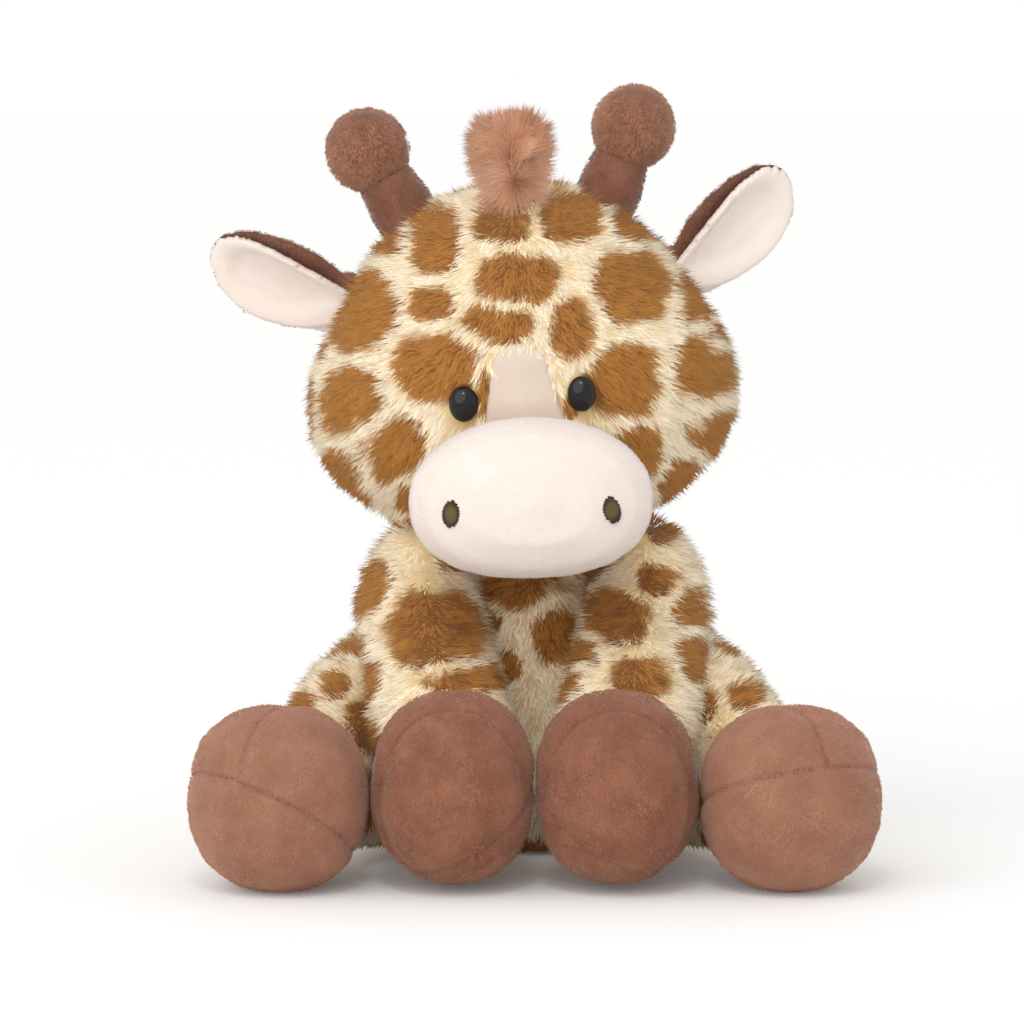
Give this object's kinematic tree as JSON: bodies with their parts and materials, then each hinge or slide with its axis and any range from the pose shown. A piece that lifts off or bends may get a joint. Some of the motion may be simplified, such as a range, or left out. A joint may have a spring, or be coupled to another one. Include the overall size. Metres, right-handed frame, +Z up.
{
  "type": "seated plush giraffe",
  "caption": "Seated stuffed giraffe toy with printed long pile plush, pale muzzle, soft horns, ears, forelock, tail and plump hooves on limbs that flex at their seams.",
  "frame": {"origin": "middle of the flat underside of the seat, on the surface that the toy sits on", "axes": "+Z up, -Y the way the toy faces, +X the toy's own left"},
  "size_m": [0.221, 0.2029, 0.2565],
  "materials": {
    "printed_plush": "cream long pile plush printed with tan patches",
    "hoof_plush": "rosy brown short pile plush with a soft nap",
    "horn_plush": "brown short pile plush",
    "long_pile": "rosy brown long pile",
    "pale_velboa": "pale pink shaved plush",
    "thread": "dark brown satin stitch",
    "eye_plastic": "polished black moulding",
    "washer_plastic": "white moulding",
    "fibrefill": "white polyester stuffing",
    "bean_pouch": "woven inner pouch"
  },
  "bodies": {
    "torso": {"body_cover": "printed_plush", "body_stuffing": "fibrefill", "seat_bean_pouch": "bean_pouch"},
    "neck": {"neck_cover": "printed_plush", "neck_stuffing": "fibrefill"},
    "head": {"head_cover": "printed_plush", "head_stuffing": "fibrefill", "face_blaze": "pale_velboa", "muzzle_cover": "pale_velboa", "muzzle_stuffing": "fibrefill", "nostril_right": "thread", "nostril_left": "thread", "eye_right": "eye_plastic", "eye_left": "eye_plastic", "eye_washer_right": "washer_plastic", "eye_washer_left": "washer_plastic", "forelock_tuft": "long_pile"},
    "right_ear": {"ear_right_back": "horn_plush", "ear_right_lining": "pale_velboa"},
    "left_ear": {"ear_left_back": "horn_plush", "ear_left_lining": "pale_velboa"},
    "right_horn": {"horn_right_stem": "horn_plush", "horn_right_knob": "horn_plush", "horn_right_stuffing": "fibrefill"},
    "left_horn": {"horn_left_stem": "horn_plush", "horn_left_knob": "horn_plush", "horn_left_stuffing": "fibrefill"},
    "right_arm": {"right_arm_sleeve": "printed_plush", "right_arm_hoof_front_panel": "hoof_plush", "right_arm_hoof_back_panel": "hoof_plush", "right_arm_hoof_sole": "hoof_plush", "right_arm_stuffing": "fibrefill"},
    "left_arm": {"left_arm_sleeve": "printed_plush", "left_arm_hoof_front_panel": "hoof_plush", "left_arm_hoof_back_panel": "hoof_plush", "left_arm_hoof_sole": "hoof_plush", "left_arm_stuffing": "fibrefill"},
    "right_leg": {"right_leg_sleeve": "printed_plush", "right_leg_hoof_inner_panel": "hoof_plush", "right_leg_hoof_outer_panel": "hoof_plush", "right_leg_hoof_sole": "hoof_plush", "right_leg_stuffing": "fibrefill"},
    "left_leg": {"left_leg_sleeve": "printed_plush", "left_leg_hoof_inner_panel": "hoof_plush", "left_leg_hoof_outer_panel": "hoof_plush", "left_leg_hoof_sole": "hoof_plush", "left_leg_stuffing": "fibrefill"},
    "tail": {"tail_cover": "printed_plush", "tail_tuft": "long_pile"}
  },
  "joints": [
    {"name": "neck_turn", "type": "hinge", "parent": "torso", "child": "neck", "pos_m": [0, 0, 0.11125], "axis": [0, 0, 1], "range_deg": [-25, 25], "stiffness_Nm_per_rad": 0.6},
    {"name": "head_nod", "type": "hinge", "parent": "neck", "child": "head", "pos_m": [0, 0, 0.11125], "axis": [-1, 0, 0], "range_deg": [0, 20], "stiffness_Nm_per_rad": 1.5},
    {"name": "right_ear_flap", "type": "hinge", "parent": "head", "child": "right_ear", "pos_m": [-0.06401, -0.0027, 0.18521], "axis": [0.3274, -0.4067, 0.8529], "range_deg": [-20, 20], "stiffness_Nm_per_rad": 0.06},
    {"name": "left_ear_flap", "type": "hinge", "parent": "head", "child": "left_ear", "pos_m": [0.05019, -0.0027, 0.1952], "axis": [0.6346, 0.4067, -0.6571], "range_deg": [-20, 20], "stiffness_Nm_per_rad": 0.06},
    {"name": "right_horn_bend", "type": "hinge", "parent": "head", "child": "right_horn", "pos_m": [-0.04216, -0.00314, 0.21246], "axis": [0, 1, 0], "range_deg": [-12, 12], "stiffness_Nm_per_rad": 0.12},
    {"name": "left_horn_bend", "type": "hinge", "parent": "head", "child": "left_horn", "pos_m": [0.02395, -0.00314, 0.21824], "axis": [0, 1, 0], "range_deg": [-12, 12], "stiffness_Nm_per_rad": 0.12},
    {"name": "right_shoulder", "type": "hinge", "parent": "torso", "child": "right_arm", "pos_m": [-0.039, -0.018, 0.0875], "axis": [-1, 0, 0], "range_deg": [0, 22], "stiffness_Nm_per_rad": 0.3},
    {"name": "left_shoulder", "type": "hinge", "parent": "torso", "child": "left_arm", "pos_m": [0.039, -0.018, 0.0875], "axis": [-1, 0, 0], "range_deg": [0, 22], "stiffness_Nm_per_rad": 0.3},
    {"name": "right_hip", "type": "hinge", "parent": "torso", "child": "right_leg", "pos_m": [-0.046, -0.005, 0.0355], "axis": [0.9104, -0.4137, 0], "range_deg": [0, 40], "stiffness_Nm_per_rad": 0.5},
    {"name": "left_hip", "type": "hinge", "parent": "torso", "child": "left_leg", "pos_m": [0.046, -0.005, 0.0355], "axis": [0.9104, 0.4137, 0], "range_deg": [0, 40], "stiffness_Nm_per_rad": 0.5},
    {"name": "tail_swing", "type": "hinge", "parent": "torso", "child": "tail", "pos_m": [0, 0.04109, 0.034], "axis": [1, 0, 0], "range_deg": [0, 60], "stiffness_Nm_per_rad": 0.04}
  ]
}
